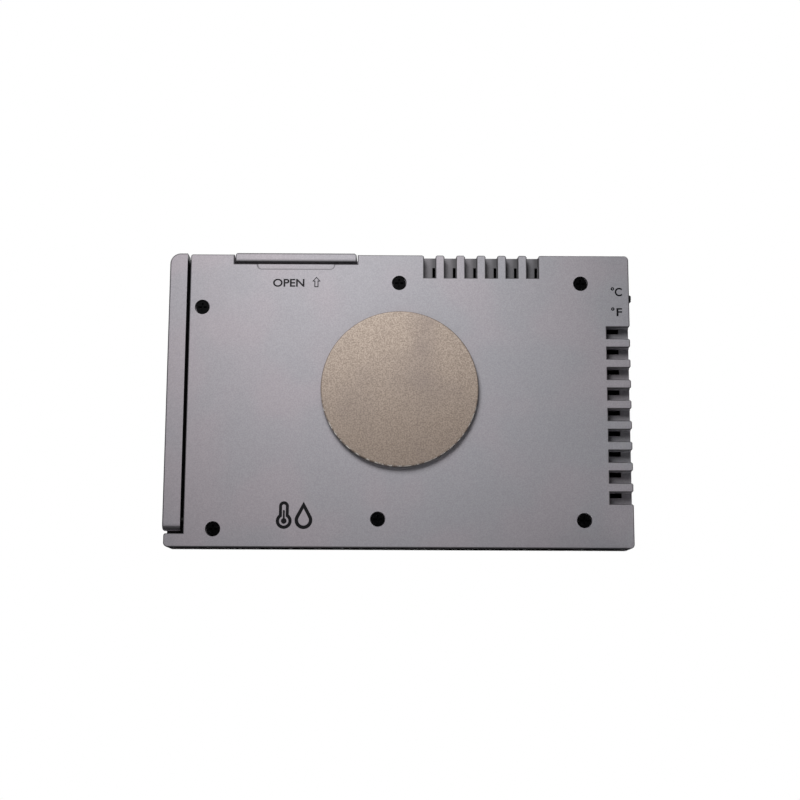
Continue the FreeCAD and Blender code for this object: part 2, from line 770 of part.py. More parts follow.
def contacts():
    """Two nickel-plated springs soldered to the board's edge below the tray."""
    board_edge = tray_bottom - board_gap
    half = contact_width / 2
    pad_low = board_edge - contact_pad
    pad_top = board_back + contact_sheet
    rise = board_edge + contact_lift
    stop = cell_front - contact_gap

    body = new_body("negative_contact")
    x_span = (tray_centre - half, tray_centre + half)
    leaf_top = cell_height - cell_cap_radius / 2
    profile = [
        (board_back, pad_low), (pad_top, pad_low), (pad_top, rise + contact_sheet),
        (stop, rise + contact_sheet), (stop, leaf_top), (stop - contact_sheet, leaf_top),
        (stop - contact_sheet, rise), (board_back, rise),
    ]
    add(body, "X", x_span[0], x_span[1], [profile])

    body = new_body("positive_contact")
    across = tray_centre + positive_offset
    finger_level = cell_front + cell_thickness / 2
    finger_top = cell_height - cell_radius + contact_width / 2
    profile = [
        (board_back, pad_low), (pad_top, pad_low), (pad_top, rise),
        (finger_level, rise), (finger_level, finger_top), (finger_level - contact_sheet, finger_top),
        (finger_level - contact_sheet, rise + contact_sheet), (board_back, rise + contact_sheet),
    ]
    add(body, "X", across - half, across + half, [profile])


# ================================================================ unit switch
def unit_switch():
    """A miniature slide switch on the board's edge, worked by a knob in the side wall."""
    low = switch_height - switch_length / 2
    high = switch_height + switch_length / 2
    outer = left_inside + guide_gap
    inner = outer + switch_width
    top = board_back + switch_body

    # Pressed steel shell over a moulded base, with a slot for the slider's neck.
    body = new_body("switch_shell")
    add(body, "Y", board_back, top, [rectangle(outer, low, inner, high)])
    cut(body, "Y", board_back, top - switch_shell, [
        rectangle(outer + switch_shell, low - slide_gap, inner, high + slide_gap),
    ])
    reach = knob_height / 2 + switch_travel / 2 + knob_gap
    deep = knob_depth / 2 + knob_gap
    cut(body, "X", outer, outer + switch_shell, [
        rectangle(knob_level - deep, switch_height - reach, knob_level + deep, switch_height + reach),
    ])

    body = new_body("switch_base")
    base_outer = outer + switch_shell
    well_inner = base_outer + knob_foot + slide_gap
    add(body, "Y", board_back, top - switch_shell, [rectangle(base_outer, low, inner, high)])
    cut(body, "X", base_outer, well_inner, [
        rectangle(knob_level - deep, switch_height - reach, knob_level + deep, switch_height + reach),
    ])

    body = new_body("switch_knob")
    half = knob_height / 2
    tip = left - knob_proud
    thick = knob_depth / 2
    flat = rectangle(knob_level - thick, knob_start - half, knob_level + thick, knob_start + half)
    add(body, "X", tip, base_outer + knob_foot, [flat])
    soften(body, "Fillet", knob_round, edges_at(body, "X", tip))

    legs = []
    leg_half = switch_shell
    for index in range(3):
        height = switch_height + switch_travel * (index - 1)
        legs.append(block(f"switch_leg_{index}", (inner, inner + knob_foot),
                          (board_back, board_back + switch_shell), (height - leg_half, height + leg_half)))
    group("switch_terminals", legs)


# ================================================================ display
def display():
    """The window, and the liquid-crystal stack in its holder, front to back."""
    side = lcd_width / 2
    low, high = lcd_bottom, lcd_bottom + lcd_height

    window = new_body("display_window")
    add(window, "Y", front, front + window_sheet, [window_outline(0)])
    soften(window, "Fillet", field_round, edges_along(window, "Y", window_outline(0)))
    tape = new_body("window_tape")
    tape_start = front + window_sheet
    add(tape, "Y", tape_start, tape_start + tape_sheet, [window_outline(-tape_inset), view_outline()])

    level = floor + lcd_slack
    layers = []
    for label, sheet_thickness in (
        ("front_polariser", polariser_sheet), ("lcd_front_glass", glass_sheet),
        ("lcd_seal", seal_sheet), ("lcd_rear_glass", glass_sheet), ("lcd_reflector", reflector_sheet),
    ):
        layers.append((label, level, level + sheet_thickness))
        level = level + sheet_thickness
    for label, start, stop in layers:
        bottom = low if label == "lcd_front_glass" else low + glass_ledge
        if label == "lcd_seal":
            body = new_body(label)
            inner = rectangle(-side + seal_width, bottom + seal_width, side - seal_width, high - seal_width)
            add(body, "Y", start, stop, [rectangle(-side, bottom, side, high), inner])
        else:
            keep(block(label, (-side, side), (start, stop), (bottom, high)), label)

    holder = new_body("lcd_holder")
    rim = holder_gap + holder_rim
    outer = rectangle(-side - rim, low - rim, side + rim, high + rim)
    inner = rectangle(-side - holder_gap, low - holder_gap, side + holder_gap, high + holder_gap)
    add(holder, "Y", floor + lcd_slack, board_front, [outer, inner])

    glass_back = layers[1][2]
    strip_low = low + (glass_ledge - connector_width) / 2
    strip_half = view_width / 2 - connector_inset
    keep(block("strip", (-strip_half, strip_half), (glass_back, board_front),
               (strip_low, strip_low + connector_width)), "zebra_connector")


# ================================================================ board and its components
def circuit_board():
    """The board, cut away for the battery bay and notched round the screw bosses."""
    body = new_body("circuit_board")
    ledge_x = left + vent_length + ledge_margin + board_gap
    low = wall + board_gap * 2
    bay_edge = guide_left - guide_rib - board_gap
    board_right = right_inside - board_gap
    tab_low = side_vent_start + vent_pitch * (SIDE_VENTS - 1) + vent_width + ledge_margin + board_gap
    tab_left = left_inside + board_gap
    outline = [
        (ledge_x, low), (board_right, low), (board_right, tray_bottom - board_gap),
        (bay_edge, tray_bottom - board_gap), (bay_edge, board_top), (tab_left, board_top),
        (tab_left, tab_low), (ledge_x, tab_low),
    ]
    add(body, "Y", board_front, board_back, [outline])
    clear = boss_radius + boss_clearance
    for x, z in (CASE_SCREWS[1], CASE_SCREWS[2], CASE_SCREWS[4], CASE_SCREWS[5]):
        cut(body, "Y", board_front, board_back, circles=[(x, z, clear)])
    holes = [(x, z, board_screw_radius + screw_clearance) for x, z in BOARD_SCREWS]
    cut(body, "Y", board_front, board_back, circles=holes)
    corner_top = pin_height + pin_radius + channel_wall + board_gap
    corner_start = CASE_SCREWS[3][0] - clear
    cut(body, "Y", board_front, board_back, [
        rectangle(corner_start, low - wall, board_right + wall, corner_top),
    ])


chip_radius = named("chip_radius", 4.5)
chip_height = named("chip_height", 1.2)
chip_across = named("chip_across", -10.0)
chip_rise = named("chip_rise", 20.0)
chip_round = named("chip_round", 0.9)
crystal_radius = named("crystal_radius", 1.0)
crystal_length = named("crystal_length", 6.0)
crystal_across = named("crystal_across", -24.0)
crystal_rise = named("crystal_rise", 12.5)
crystal_lead_offset = named("crystal_lead_offset", 0.5)
lead_radius = named("lead_radius", 0.15)
lead_length = named("lead_length", 1.5)
bead_radius = named("bead_radius", 0.85)
bead_inset = named("bead_inset", 8.7)
bead_drop = named("bead_drop", 16.5)
bead_lead_offset = named("bead_lead_offset", 0.3825)
sensor_width = named("sensor_width", 5.0)
sensor_height = named("sensor_height", 7.0)
sensor_sheet = named("sensor_sheet", 0.6)
sensor_stand = named("sensor_stand", 0.7)
sensor_inset = named("sensor_inset", 8.5)
sensor_drop = named("sensor_drop", 29.0)
sensor_pin_pitch = named("sensor_pin_pitch", 1.5)
row_gap = named("row_gap", 8.1)
resistor_start = named("resistor_start", 9.0)
resistor_pitch = named("resistor_pitch", 1.5)
resistor_width = named("resistor_width", 0.6)
resistor_length = named("resistor_length", 1.2)
resistor_sheet = named("resistor_sheet", 0.45)
capacitor_start = named("capacitor_start", 6.75)
capacitor_pitch = named("capacitor_pitch", 3.0)
capacitor_width = named("capacitor_width", 0.96)
capacitor_length = named("capacitor_length", 1.5)
capacitor_sheet = named("capacitor_sheet", 0.7)

bead_across = left + bead_inset
bead_rise = case_height - bead_drop
sensor_across = left + sensor_inset
sensor_rise = case_height - sensor_drop


def electronics():
    """Resin-capped controller, watch crystal, thermistor, humidity element and chips."""
    dome = rod("chip", "Y", (chip_across, board_back, chip_rise), chip_height, chip_radius)
    document.recompute()
    rounded = document.addObject("Part::Fillet", "chip_round")
    rounded.Base = dome
    crown = (board_back + chip_height).value
    rim = [n for n, edge in enumerate(dome.Shape.Edges, 1) if same(edge.CenterOfMass.y, crown)]
    rounded.Edges = [(n, chip_round.value, chip_round.value) for n in rim]
    keep(rounded, "controller_resin")

    axis_level = board_back + crystal_radius + lead_radius
    keep(rod("crystal", "X", (crystal_across, axis_level, crystal_rise), crystal_length, crystal_radius),
         "clock_crystal")
    lead_sets = []
    for sign in (-1, 1):
        height = crystal_rise + crystal_lead_offset * sign
        start = crystal_across - lead_length
        wires = [
            rod(f"crystal_wire{sign}", "X", (start, axis_level, height), lead_length, lead_radius),
            rod(f"crystal_drop{sign}", "Y", (start, board_back, height),
                axis_level + lead_radius - board_back, lead_radius),
        ]
        lead_sets.append(join(f"crystal_lead{sign}", wires))
    group("crystal_leads", lead_sets)

    bead = document.addObject("Part::Sphere", "bead")
    bind(bead, "Radius", bead_radius)
    bead_level = board_back + bead_radius + lead_radius
    for name, place in zip("xyz", (bead_across, bead_level, bead_rise)):
        bind(bead, "Placement.Base." + name, place)
    keep(bead, "thermistor_bead")
    wires = []
    foot_height = bead_rise - bead_radius - lead_length
    for sign in (-1, 1):
        across = bead_across + bead_lead_offset * sign
        run = rod(f"bead_wire{sign}", "Z", (across, bead_level, foot_height), lead_length, lead_radius)
        foot = rod(f"bead_drop{sign}", "Y", (across, board_back, foot_height),
                   bead_level + lead_radius - board_back, lead_radius)
        wires.append(join(f"bead_lead{sign}", [run, foot]))
    group("thermistor_leads", wires)

    level = board_back + sensor_stand
    half = sensor_width / 2
    keep(block("sensor", (sensor_across - half, sensor_across + half), (level, level + sensor_sheet),
               (sensor_rise, sensor_rise + sensor_height)), "humidity_sensor")
    pins = [
        rod(f"sensor_pin_{n}", "Y",
            (sensor_across + sensor_pin_pitch * n, board_back, sensor_rise + sensor_sheet),
            sensor_stand, lead_radius)
        for n in (-1, 0, 1)
    ]
    group("humidity_sensor_pins", pins)

    group("chip_resistors", [
        chip(f"resistor_{n}", chip_across - resistor_start + resistor_pitch * n, chip_rise + row_gap,
             resistor_width, resistor_length, resistor_sheet)
        for n in range(6)
    ])
    group("chip_capacitors", [
        chip(f"capacitor_{n}", chip_across - capacitor_start + capacitor_pitch * n, chip_rise - row_gap,
             capacitor_width, capacitor_length, capacitor_sheet)
        for n in range(4)
    ])


def chip(label, across, rise, width, length, thickness):
    """One small rectangular component lying on the board's back."""
    return block(label, (across, across + width), (board_back, board_back + thickness),
                 (rise, rise + length))


front_cover()
rear_cover()
fasteners()
stand()
magnet()
battery_tray()
coin_cell()
contacts()
unit_switch()
display()
circuit_board()
electronics()
document.recompute()

for item in document.Objects:
    if {"Invalid", "Error"} & set(item.State):
        raise RuntimeError(f"{item.Label} failed: {item.State}")
os.makedirs("parts", exist_ok=True)
for label, piece in PIECES.items():
    shape = piece.Shape
    if shape.isNull() or not shape.isValid() or not shape.Solids:
        raise RuntimeError(f"{label} has no valid solid")
    shape.exportStep(os.path.join("parts", label + ".step"))
    print(f"{label:24s} solids {len(shape.Solids)}  volume {shape.Volume:9.3f}")
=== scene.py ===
"""A card-size room thermometer and hygrometer, put together piece by piece.

Metres. The display faces -Y, the back faces +Y and +Z is up. The case stands on Z = 0.
"""
import math

import bpy
from mathutils import Matrix, Vector


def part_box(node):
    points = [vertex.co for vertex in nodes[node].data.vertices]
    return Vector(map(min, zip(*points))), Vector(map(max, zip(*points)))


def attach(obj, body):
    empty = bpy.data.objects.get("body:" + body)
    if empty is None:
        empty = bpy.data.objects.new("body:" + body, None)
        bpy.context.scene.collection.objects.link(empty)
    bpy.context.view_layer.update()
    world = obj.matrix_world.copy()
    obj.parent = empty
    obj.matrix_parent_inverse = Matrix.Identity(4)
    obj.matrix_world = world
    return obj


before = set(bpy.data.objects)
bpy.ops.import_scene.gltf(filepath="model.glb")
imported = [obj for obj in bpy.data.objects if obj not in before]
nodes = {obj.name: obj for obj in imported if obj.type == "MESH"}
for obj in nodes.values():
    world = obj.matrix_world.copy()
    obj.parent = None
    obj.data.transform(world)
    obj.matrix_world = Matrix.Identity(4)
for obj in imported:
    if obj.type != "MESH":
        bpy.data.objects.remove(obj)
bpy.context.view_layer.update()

# ---------------------------------------------------------------- the camera
# It looks at the back of the case from 0.26 m away and a little below its foot, turned up by ten
# degrees.
CAMERA_PLACE = (0.0002, 0.26501, -0.01706)
CAMERA_TURN = (99.6355, -0.2418, 179.8961)
LENS = 64.364
SENSOR = 36.0

bpy.ops.object.select_all(action="DESELECT")
camera_data = bpy.data.cameras.new("camera")
camera_data.sensor_width = SENSOR
camera_data.lens = LENS
camera_data.clip_start = 0.01
camera = bpy.data.objects.new("camera", camera_data)
camera.location = CAMERA_PLACE
camera.rotation_euler = [math.radians(turn) for turn in CAMERA_TURN]
bpy.context.scene.collection.objects.link(camera)
bpy.context.scene.camera = camera
bpy.context.scene.view_settings.view_transform = "Standard"


# ---------------------------------------------------------------- the studio
# A white room, a pale table top that is only there from above, and two soft boxes. The key hangs
# close over the upper left of the back, so that the light falls off down the case. The fill
# stands before the display.
CLOSE_PLACE, CLOSE_AIM = (0.027, 0.110, 0.105), (0.006, 0, 0.042)
CLOSE_LIGHT = {"size": 0.07, "watts": 0.0535, "spread": 92}
FRONT_PLACE, FRONT_AIM = (-0.25, -0.42, 0.40), (0, -0.02, 0.03)
FRONT_LIGHT = {"size": 0.25, "watts": 0.36, "spread": 40}
ROOM_WHITE = (1.0, 1.0, 1.0, 1.0)
ROOM_LIGHT = (0.97, 0.98, 1.0, 1.0)
ROOM_DIM = 0.06
TABLE_SIZE = 3.0
TABLE_LEVEL = -0.0004
TABLE_DARK = (0.48, 0.48, 0.49)
TABLE_PALE = (0.52, 0.52, 0.53)
TABLE_LIFT = 0.42


class Wire:
    """One socket that gives a value or a colour. Sums and products of wires add Math nodes."""

    def __init__(self, finish, socket):
        self.finish = finish
        self.socket = socket

    def __add__(self, other):
        return self.finish.maths("ADD", self, other)

    def __radd__(self, other):
        return self.finish.maths("ADD", other, self)

    def __sub__(self, other):
        return self.finish.maths("SUBTRACT", self, other)

    def __rsub__(self, other):
        return self.finish.maths("SUBTRACT", other, self)

    def __mul__(self, other):
        return self.finish.maths("MULTIPLY", self, other)

    def __rmul__(self, other):
        return self.finish.maths("MULTIPLY", other, self)


class Finish:
    """One material's or world's nodes, with the steps that most finishes share."""

    def __init__(self, owner):
        owner.use_nodes = True
        self.owner = owner
        self.tree = owner.node_tree
        self.tree.nodes.clear()

    def node(self, kind, settings, sockets, out=0):
        """Adds a node: its settings first, then the values or wires of its sockets."""
        made = self.tree.nodes.new(kind)
        for name, value in settings.items():
            setattr(made, name, value)
        for name, value in sockets.items():
            if isinstance(value, Wire):
                self.tree.links.new(value.socket, made.inputs[name])
            else:
                made.inputs[name].default_value = value
        return Wire(self, made.outputs[out])

    def maths(self, operation, first, second=0.0):
        """One Math node."""
        return self.node("ShaderNodeMath", {"operation": operation}, {0: first, 1: second})

    def axes(self, kind):
        """The three parts of a point on the piece ("Object") or of its facing ("Normal")."""
        whole = self.node("ShaderNodeTexCoord", {}, {}, kind)
        return [self.node("ShaderNodeSeparateXYZ", {}, {0: whole}, part) for part in "XYZ"]

    def grain(self, size, detail=2.0):
        """Soft noise from 0 to 1 whose lumps are about this size in metres."""
        place = self.node("ShaderNodeTexCoord", {}, {}, "Object")
        sockets = {"Vector": place, "Scale": 1 / size, "Detail": detail}
        return self.node("ShaderNodeTexNoise", {}, sockets)

    def fade(self, value, low, high):
        """0 below low, 1 above high, and smooth between. With low above high it falls."""
        settings = {"interpolation_type": "SMOOTHSTEP"}
        sockets = {"Value": value, "From Min": low, "From Max": high}
        return self.node("ShaderNodeMapRange", settings, sockets)

    def blend(self, share, first, second):
        """A colour between two, by share."""
        colours = [c if isinstance(c, Wire) else (*c, 1.0) for c in (first, second)]
        return self.node("ShaderNodeMix", {"data_type": "RGBA"},
                         {0: share, 6: colours[0], 7: colours[1]}, 2)

    def relief(self, height, depth):
        """A bumped facing from a height of 0 to 1 that stands for a depth in metres."""
        return self.node("ShaderNodeBump", {}, {"Height": height, "Distance": depth})

    def principled(self, colour, roughness, normal=None, **steady):
        """The usual shader. Steady values sit on its own sockets."""
        sockets = {"Base Color": colour if isinstance(colour, Wire) else (*colour, 1.0),
                   "Roughness": roughness}
        if normal:
            sockets["Normal"] = normal
        sockets.update({name.replace("_", " "): value for name, value in steady.items()})
        return self.node("ShaderNodeBsdfPrincipled", {}, sockets)

    def close(self, shader, output="ShaderNodeOutputMaterial"):
        """Joins the last shader to the output."""
        end = self.tree.nodes.new(output)
        self.tree.links.new(shader.socket, end.inputs["Surface"])

    def coat(self, *pieces):
        """Puts the finish on pieces, over whatever they came with."""
        for piece in pieces:
            piece.data.materials.clear()
            piece.data.materials.append(self.owner)


def finish(name):
    """A new material that is ready for its nodes."""
    return Finish(bpy.data.materials.new(name))


def lamp(name, place, aim, size, watts, spread):
    """A square soft box that faces a point and throws its light within a spread in degrees."""
    data = bpy.data.lights.new(name, "AREA")
    data.size = size
    data.energy = watts
    data.spread = math.radians(spread)
    box = bpy.data.objects.new(name, data)
    box.location = place
    box.visible_camera = False
    box.rotation_euler = (Vector(aim) - Vector(place)).to_track_quat("-Z", "Y").to_euler()
    bpy.context.scene.collection.objects.link(box)


room = Finish(bpy.data.worlds.new("white_room"))
seen = room.node("ShaderNodeLightPath", {}, {}, "Is Camera Ray")
bright = room.node("ShaderNodeBackground", {}, {"Color": ROOM_WHITE, "Strength": 1.0})
dim = room.node("ShaderNodeBackground", {}, {"Color": ROOM_LIGHT, "Strength": ROOM_DIM})
room.close(room.node("ShaderNodeMixShader", {}, {0: seen, 1: dim, 2: bright}), "ShaderNodeOutputWorld")
bpy.context.scene.world = room.owner

bpy.ops.mesh.primitive_plane_add(size=TABLE_SIZE, location=(0, 0, TABLE_LEVEL))
table = bpy.context.object
table.name = "table_top"
pale = finish("pale_table")
under = pale.node("ShaderNodeNewGeometry", {}, {}, "Backfacing")
lit = pale.principled(pale.blend(pale.grain(0.004), TABLE_DARK, TABLE_PALE), 0.9, Specular_IOR_Level=0.1)
# The lift is there for the eye alone, so that the table throws no extra light on the case.
glow = pale.node("ShaderNodeEmission", {}, {"Color": ROOM_LIGHT, "Strength": TABLE_LIFT})
looked_at = pale.node("ShaderNodeLightPath", {}, {}, "Is Camera Ray")
nothing = pale.node("ShaderNodeEmission", {}, {"Strength": 0.0})
lift = pale.node("ShaderNodeMixShader", {}, {0: looked_at, 1: nothing, 2: glow})
top = pale.node("ShaderNodeAddShader", {}, {0: lit, 1: lift})
clear = pale.node("ShaderNodeBsdfTransparent", {}, {})
pale.close(pale.node("ShaderNodeMixShader", {}, {0: under, 1: top, 2: clear}))
pale.coat(table)

lamp("key", CLOSE_PLACE, CLOSE_AIM, **CLOSE_LIGHT)
lamp("front_fill", FRONT_PLACE, FRONT_AIM, **FRONT_LIGHT)

# ---------------------------------------------------------------- covers, leg and tray
# Moulded in dark plastic and sprayed with one thin coat of silver-grey paint. The coat is fine
# grained and drifts a little between cool and warm, and doesn't reach the inside. Painted shade
# darkens the rounded edges of the back, the notch's outline, the lip's top and foot and the vents,
# and the leg's channel is painted dark as shade.
PAINT_COOL = (0.340, 0.334, 0.358)
PAINT_WARM = (0.372, 0.340, 0.366)
# The dark colour of the painted shade on the edges, the notch, the lip and the vents.
PAINT_SHADE = (0.060, 0.058, 0.062)
# Bare plastic, also used as painted shade in the leg's channel.
BARE_AND_SHADE = (0.012, 0.012, 0.013)
DAPPLE_DARK = (0.90, 0.90, 0.91)
DAPPLE_LIGHT = (1.10, 1.10, 1.10)
DRIFT_SIZE = 0.011
FLAKE_SIZE = 0.00022
SKIN_SIZE = 0.00030
SKIN_DEPTH = 0.000012
HAIR = 0.00004
LINE_REACH = 0.00018
TRAY_CENTRE = 0.0196
NOTCH_HALF = 0.00725
NOTCH_FOOT = 0.0522
NOTCH_TOP = (0.05335, 0.05325)
NOTCH_ROUND = 0.0008
NOTCH_REACH = 0.00021
LIP_ENDS = (0.0081, 0.0311)
LIP_FOOT = (0.05355, 0.05360)
LIP_FOOT_EDGE = (0.05425, 0.05375)
LIP_TOP_EDGE = (0.05495, 0.05515)
VENT_PITCH = 0.00387
VENT_WIDTH = 0.00218
TOP_START, SIDE_START = -0.02603, 0.00816
# The top row of vents runs across and the side row runs up. Each row has a mask for the painted
# shade lines on its edges and one for the painted shade in its hollows. LINES and HOLLOWS are a
# row's two ends, and FOOT is where the mask starts and where it is full, at the slots' closed ends.
TOP_LINES, TOP_LINES_FOOT = (-0.02625, -0.00428), (0.05050, 0.05060)
SIDE_LINES, SIDE_LINES_FOOT = (0.00796, 0.04150), (-0.03855, -0.03865)
TOP_HOLLOWS, TOP_HOLLOWS_FOOT = (-0.02605, -0.00448), (0.05060, 0.05066)
SIDE_HOLLOWS, SIDE_HOLLOWS_FOOT = (0.00814, 0.04132), (-0.03862, -0.03866)
# The rooms painted dark, each from and to across, deep and up: the covers' inside and the tray
# below its lip, which the spray doesn't reach, and the sides of the leg's channel and the
# channel's floor, which are painted dark as shade in the gap beside the leg.
COVERS_INSIDE = ((-0.04145, 0.03830), (-0.00245, 0.00140), (0.00155, 0.05345))
TRAY_BAY = ((0.0085, 0.0307), (-0.00065, 0.00245), (0.0295, 0.0535))
CHANNEL_SIDE = ((0.03935, 0.04003), (-0.00055, 0.00355), (0.0024, 0.06))
CHANNEL_FLOOR = ((0.03935, 0.04295), (-0.00055, -0.00045), (0.0024, 0.06))

paint = finish("silver_grey_paint")
across, deep, up = paint.axes("Object")
facing_back = paint.axes("Normal")[1]
patches = paint.fade(paint.grain(DRIFT_SIZE, 1.0), 0.35, 0.65)
drift = 0.65 * patches + 0.35 * paint.fade(across, -0.03, 0.03)
even = paint.blend(drift, PAINT_COOL, PAINT_WARM)
flake = paint.fade(paint.grain(FLAKE_SIZE, 3.0), 0.25, 0.75)
dapple = paint.blend(flake, DAPPLE_DARK, DAPPLE_LIGHT)
dappled = paint.node("ShaderNodeMix", {"data_type": "RGBA", "blend_type": "MULTIPLY"},
                     {0: 1.0, 6: even, 7: dapple}, 2)


def between(value, low, high):
    """1 where a place lies between two levels, fading over a hair's breadth."""
    return paint.fade(value, low - HAIR, low) * paint.fade(value, high + HAIR, high)


def either(first, second):
    """1 where one of two shares is 1."""
    return 1 - (1 - first) * (1 - second)


def size_of(value):
    """A value without its sign."""
    return paint.maths("ABSOLUTE", value)


def above_zero(value):
    """A value where it is above zero, and zero elsewhere."""
    return paint.maths("MAXIMUM", value)


def room_share(room):
    """1 inside a room."""
    (left, right), (front, back), (low, high) = room
    return between(across, left, right) * between(deep, front, back) * between(up, low, high)


def slot_shade_lines(along, start):
    """Painted shade along the long edges of a row of slots."""
    place = paint.maths("MODULO", along - start + LINE_REACH, VENT_PITCH)
    first = size_of(place - LINE_REACH)
    second = size_of(place - LINE_REACH - VENT_WIDTH)
    return either(paint.fade(first, LINE_REACH, HAIR), paint.fade(second, LINE_REACH, HAIR))


# Painted shade lines: the rounded edges of the back, the outline of the thumb notch, the long
# edges of the vents, and the top and foot of the tray's lip.
near_back = paint.fade(deep, 0.0029, 0.0033)
edge_shade = paint.fade(facing_back, 0.997, 0.900) * near_back
notch_side = above_zero(size_of(across - TRAY_CENTRE) - (NOTCH_HALF - NOTCH_ROUND))
notch_drop = above_zero(NOTCH_FOOT + NOTCH_ROUND - up)
notch_reach = paint.maths("SQRT", notch_side * notch_side + notch_drop * notch_drop)
notch_shade_line = paint.fade(size_of(notch_reach - NOTCH_ROUND), NOTCH_REACH, 2 * HAIR)
notch_shade_line = notch_shade_line * near_back * paint.fade(up, *NOTCH_TOP)
top_row = between(across, *TOP_LINES) * paint.fade(up, *TOP_LINES_FOOT)
side_row = between(up, *SIDE_LINES) * paint.fade(across, *SIDE_LINES_FOOT)
slot_shade_line = either(slot_shade_lines(across, TOP_START) * top_row, slot_shade_lines(up, SIDE_START) * side_row)
slot_shade_line = slot_shade_line * near_back
lip = between(across, *LIP_ENDS) * paint.fade(up, *LIP_FOOT) * near_back
lip_edge_shade = either(paint.fade(up, *LIP_FOOT_EDGE), paint.fade(up, *LIP_TOP_EDGE)) * lip
# All these lines are painted shade, blended into the coat.
painted_shade_lines = either(either(edge_shade * 0.85, notch_shade_line * 0.62), either(lip_edge_shade * 0.70, slot_shade_line * 0.55))
coated = paint.blend(painted_shade_lines, dappled, PAINT_SHADE)

# Painted shade in the vents: the floors are darker, and painted shadows lie against the walls that shade
# them.
in_top = between(across, *TOP_HOLLOWS) * paint.fade(up, *TOP_HOLLOWS_FOOT)
in_side = between(up, *SIDE_HOLLOWS) * paint.fade(across, *SIDE_HOLLOWS_FOOT)
# Painted shadows of the ribs: against one wall of each top slot and under the top wall of each side
# slot.
top_vent_shadow = paint.fade(paint.maths("MODULO", across - TOP_START, VENT_PITCH), 0.0013, 0.0002) * in_top
side_vent_shadow = paint.fade(paint.maths("MODULO", up - SIDE_START, VENT_PITCH), 0.0005, 0.0017) * in_side
slot_depth = paint.fade(deep, 0.0036, 0.0028) * paint.fade(deep, 0.00132, 0.00138)
in_vent = either(in_top, in_side) * slot_depth
vent_shade = in_vent * (0.62 - 0.50 * in_side) * (1 + 0.5 * top_vent_shadow + 1.8 * side_vent_shadow)
coated = paint.blend(vent_shade, coated, PAINT_SHADE)

# The leg's channel and the leg's inner side are painted dark as shade; the covers' inside and the tray's
# bay are bare plastic.
bare_and_shaded = either(either(room_share(COVERS_INSIDE), room_share(TRAY_BAY)),
                   either(room_share(CHANNEL_SIDE), room_share(CHANNEL_FLOOR)))
coated = paint.blend(bare_and_shaded, coated, BARE_AND_SHADE)
gloss = 0.55 + 0.10 * paint.grain(0.004)
skin = paint.relief(paint.grain(SKIN_SIZE, 3.0), SKIN_DEPTH)
paint.close(paint.principled(coated, gloss, skin, Metallic=0.05, Specular_IOR_Level=0.3))
paint.coat(nodes["front_cover"], nodes["rear_cover"], nodes["stand_leg"], nodes["battery_tray"])

# ---------------------------------------------------------------- case screws
# Six small pan-head screws in blackened steel, turned home in counterbored holes. The black is
# rubbed a little in places.
black = finish("blackened_steel")
rubbed = black.fade(black.grain(0.00035, 3.0), 0.55, 0.75)
black_colour = black.blend(rubbed, (0.0020, 0.0020, 0.0023), (0.011, 0.011, 0.012))
black.close(black.principled(black_colour, 0.45 + 0.2 * rubbed, black.relief(rubbed, 0.00003),
                             Specular_IOR_Level=0.02))
black.coat(nodes["case_screws"])

# ---------------------------------------------------------------- board screws and hinge pin
# Three short screws hold the board, zinc plated and left bright. The pin that the stand leg turns
# on is blackened and oiled.
zinc = finish("zinc_steel")
cloud = zinc.grain(0.0006, 3.0)
zinc_colour = zinc.blend(cloud, (0.52, 0.53, 0.55), (0.68, 0.69, 0.70))
zinc.close(zinc.principled(zinc_colour, 0.25 + 0.2 * cloud, Metallic=1.0))
zinc.coat(nodes["board_screws"])

oiled = finish("oiled_black_steel")
oil = oiled.grain(0.0004, 3.0)
oiled_colour = oiled.blend(oil, (0.005, 0.005, 0.005), (0.012, 0.011, 0.010))
oiled.close(oiled.principled(oiled_colour, 0.45 + 0.15 * oil, Specular_IOR_Level=0.15))
oiled.coat(nodes["stand_hinge_pin"])

# ---------------------------------------------------------------- magnet disc and its tape
# A sintered disc plated in a warm champagne colour, fine grained and matt, with a soft random
# smear. Painted shade darkens it downwards, a painted reflection lays a soft darker patch right of
# centre, painted highlights break along its lower rim, and painted shade darkens its upper rim and
# its side wall. White foam tape holds it on.
GRAIN_DARK = (0.240, 0.186, 0.148)
GRAIN_LIGHT = (0.450, 0.366, 0.302)
# Painted shade colour for the lower part of the disc.
PLATE_LOW_SHADE = (0.170, 0.126, 0.098)
# The colour of the random smear and of the painted reflection.
PLATE_SMEAR_AND_REFLECTION = (0.190, 0.152, 0.140)
# Painted shade colour for the upper rim.
RIM_SHADE = (0.120, 0.096, 0.078)
# The colour of the painted highlights on the lower rim.
RIM_HIGHLIGHT = (0.95, 0.90, 0.82)
# Painted shade colour for the disc's side wall.
WALL_SHADE = (0.090, 0.072, 0.058)
DISC_GRAIN = 0.00025
DISC_REACH = 0.014
# Where the painted reflection lies: right of the disc's centre.
REFLECTION_X = -0.0045
REFLECTION_HALF = 0.0045

disc = finish("champagne_plate")
low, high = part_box("magnet_disc")
disc_z = (low.z + high.z) / 2
side, _, height = disc.axes("Object")
sparkle = disc.fade(disc.grain(DISC_GRAIN, 4.0), 0.30, 0.70)
plate = disc.blend(sparkle, GRAIN_DARK, GRAIN_LIGHT)
# Painted shade: the disc darkens downwards.
low_shade = disc.fade(height, disc_z + DISC_REACH, disc_z - DISC_REACH)
plate = disc.blend(low_shade * 0.42, plate, PLATE_LOW_SHADE)
smear = disc.fade(disc.grain(0.009, 2.0), 0.42, 0.70)
